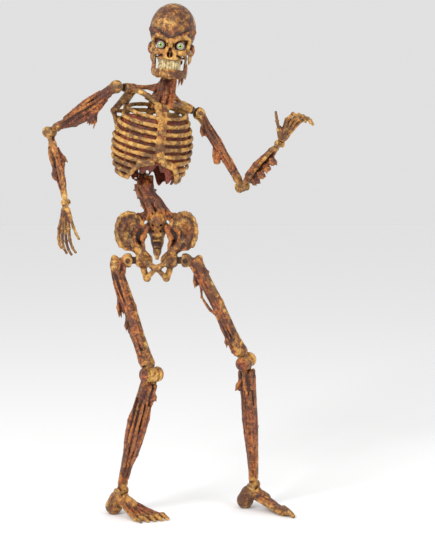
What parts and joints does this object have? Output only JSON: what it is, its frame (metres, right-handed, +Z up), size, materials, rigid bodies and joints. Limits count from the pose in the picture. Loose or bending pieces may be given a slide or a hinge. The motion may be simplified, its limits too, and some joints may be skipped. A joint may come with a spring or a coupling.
{
  "type": "posable skeleton figure",
  "caption": "Life-size posable skeleton figure with rotting flesh, standing with bent knees, one arm hanging and one raised as a claw.",
  "frame": {"origin": "on the floor under the middle of the figure's bounding box", "axes": "+Z up, the figure faces -Y, +X to the viewer's right"},
  "size_m": [0.931, 0.4152, 1.8028],
  "materials": {
    "painted_bone": "moulded plastic bone, stained ochre and burnt orange, dark brown in the hollows",
    "torn_flesh": "soft latex flesh, dark red brown, semi gloss",
    "dark_flesh": "thin latex skin inside the rib cage, dark red brown",
    "pin_steel": "steel pin, painted dark brown",
    "tooth": "ivory plastic, stained at the roots",
    "eyeball": "gloss plastic ball with a painted green iris and black pupil",
    "swivel_plastic": "dark brown structural plastic"
  },
  "bodies": {
    "torso": {"pelvis": "painted_bone", "lumbar_spine": "painted_bone", "waist_flesh": "torn_flesh", "thoracic_spine": "painted_bone", "sternum": "painted_bone", "chest_lining": "dark_flesh", "ribs_left": "painted_bone", "ribs_right": "painted_bone", "collar_bone_left": "painted_bone", "collar_bone_right": "painted_bone", "shoulder_blade_left": "painted_bone", "shoulder_blade_right": "painted_bone", "neck_column": "painted_bone"},
    "neck_knuckle": {"neck_swivel": "swivel_plastic"},
    "head": {"skull": "painted_bone", "eyes": "eyeball", "upper_teeth": "tooth", "nod_pin": "pin_steel", "jaw_pins": "pin_steel"},
    "lower_jaw": {"jaw": "painted_bone", "lower_teeth": "tooth"},
    "shoulder_knuckle_left": {"shoulder_swivel_left": "swivel_plastic"},
    "upper_arm_body_left": {"upper_arm_left": "painted_bone", "upper_arm_flesh_left": "torn_flesh", "shoulder_pin_left": "pin_steel"},
    "forearm_body_left": {"forearm_left": "painted_bone", "forearm_flesh_left": "torn_flesh", "elbow_pin_left": "pin_steel"},
    "hand_body_left": {"hand_left": "painted_bone", "wrist_pin_left": "pin_steel"},
    "hip_knuckle_left": {"hip_swivel_left": "swivel_plastic"},
    "thigh_body_left": {"thigh_left": "painted_bone", "thigh_flesh_left": "torn_flesh", "hip_pin_left": "pin_steel"},
    "shin_body_left": {"shin_left": "painted_bone", "shin_flesh_left": "torn_flesh", "knee_pin_left": "pin_steel"},
    "foot_body_left": {"foot_left": "painted_bone", "ankle_pin_left": "pin_steel"},
    "shoulder_knuckle_right": {"shoulder_swivel_right": "swivel_plastic"},
    "upper_arm_body_right": {"upper_arm_right": "painted_bone", "upper_arm_flesh_right": "torn_flesh", "shoulder_pin_right": "pin_steel"},
    "forearm_body_right": {"forearm_right": "painted_bone", "forearm_flesh_right": "torn_flesh", "elbow_pin_right": "pin_steel"},
    "hand_body_right": {"hand_right": "painted_bone", "wrist_pin_right": "pin_steel"},
    "hip_knuckle_right": {"hip_swivel_right": "swivel_plastic"},
    "thigh_body_right": {"thigh_right": "painted_bone", "thigh_flesh_right": "torn_flesh", "hip_pin_right": "pin_steel"},
    "shin_body_right": {"shin_right": "painted_bone", "shin_flesh_right": "torn_flesh", "knee_pin_right": "pin_steel"},
    "foot_body_right": {"foot_right": "painted_bone", "ankle_pin_right": "pin_steel"}
  },
  "joints": [
    {"name": "head_turn", "type": "hinge", "parent": "torso", "child": "neck_knuckle", "pos_m": [-0.01709, 0.08914, 1.58731], "axis": [0.0872, 0, 0.9962], "range_deg": [-35, 35]},
    {"name": "head_nod", "type": "hinge", "parent": "neck_knuckle", "child": "head", "pos_m": [-0.01709, 0.08914, 1.58731], "axis": [0.9962, 0, -0.0872], "range_deg": [-15, 15]},
    {"name": "jaw_open", "type": "hinge", "parent": "head", "child": "lower_jaw", "pos_m": [-0.01448, 0.07514, 1.6172], "axis": [0.9962, 0, -0.0872], "range_deg": [0, 18]},
    {"name": "shoulder_swing_left", "type": "hinge", "parent": "torso", "child": "shoulder_knuckle_left", "pos_m": [-0.19509, 0.01114, 1.51531], "axis": [-0.8617, -0.501, 0.0802], "range_deg": [-40, 60]},
    {"name": "shoulder_lift_left", "type": "hinge", "parent": "shoulder_knuckle_left", "child": "upper_arm_body_left", "pos_m": [-0.19509, 0.01114, 1.51531], "axis": [0.5026, -0.8645, 0], "range_deg": [-25, 25]},
    {"name": "elbow_left", "type": "hinge", "parent": "upper_arm_body_left", "child": "forearm_body_left", "pos_m": [-0.43921, 0.11489, 1.36274], "axis": [-0.3852, -0.9228, -0.0113], "range_deg": [-65, 32]},
    {"name": "wrist_left", "type": "hinge", "parent": "forearm_body_left", "child": "hand_body_left", "pos_m": [-0.38365, 0.09469, 1.11777], "axis": [0.725, -0.6532, 0.2183], "range_deg": [-35, 35]},
    {"name": "hip_swing_left", "type": "hinge", "parent": "torso", "child": "hip_knuckle_left", "pos_m": [-0.16609, 0.08614, 0.91531], "axis": [-1, 0, 0], "range_deg": [-25, 40]},
    {"name": "hip_splay_left", "type": "hinge", "parent": "hip_knuckle_left", "child": "thigh_body_left", "pos_m": [-0.16609, 0.08614, 0.91531], "axis": [0, -1, 0], "range_deg": [-15, 20]},
    {"name": "knee_left", "type": "hinge", "parent": "thigh_body_left", "child": "shin_body_left", "pos_m": [-0.07941, -0.0593, 0.53643], "axis": [0.8187, 0.5733, -0.0328], "range_deg": [-40, 52]},
    {"name": "ankle_left", "type": "hinge", "parent": "shin_body_left", "child": "foot_body_left", "pos_m": [-0.19709, 0.08314, 0.088], "axis": [-0.5592, -0.829, 0], "range_deg": [-18, 18]},
    {"name": "shoulder_swing_right", "type": "hinge", "parent": "torso", "child": "shoulder_knuckle_right", "pos_m": [0.07991, 0.15014, 1.42831], "axis": [-0.842, -0.3609, 0.401], "range_deg": [-60, 40]},
    {"name": "shoulder_lift_right", "type": "hinge", "parent": "shoulder_knuckle_right", "child": "upper_arm_body_right", "pos_m": [0.07991, 0.15014, 1.42831], "axis": [0.3939, -0.9191, 0], "range_deg": [-25, 25]},
    {"name": "elbow_right", "type": "hinge", "parent": "upper_arm_body_right", "child": "forearm_body_right", "pos_m": [0.23318, 0.07657, 1.17389], "axis": [-0.685, -0.6973, -0.211], "range_deg": [-80, 20]},
    {"name": "wrist_right", "type": "hinge", "parent": "forearm_body_right", "child": "hand_body_right", "pos_m": [0.35407, -0.08715, 1.32249], "axis": [-0.8436, -0.5264, 0.1063], "range_deg": [-35, 35]},
    {"name": "hip_swing_right", "type": "hinge", "parent": "torso", "child": "hip_knuckle_right", "pos_m": [0.03391, 0.08614, 0.91531], "axis": [1, 0, 0], "range_deg": [-40, 25]},
    {"name": "hip_splay_right", "type": "hinge", "parent": "hip_knuckle_right", "child": "thigh_body_right", "pos_m": [0.03391, 0.08614, 0.91531], "axis": [0, -1, 0], "range_deg": [-20, 15]},
    {"name": "knee_right", "type": "hinge", "parent": "thigh_body_right", "child": "shin_body_right", "pos_m": [0.24685, 0.05581, 0.5604], "axis": [0.4877, 0.8447, 0.2204], "range_deg": [-25, 52]},
    {"name": "ankle_right", "type": "hinge", "parent": "shin_body_right", "child": "foot_body_right", "pos_m": [0.27791, 0.16114, 0.088], "axis": [-0.454, -0.891, 0], "range_deg": [-18, 18]}
  ]
}
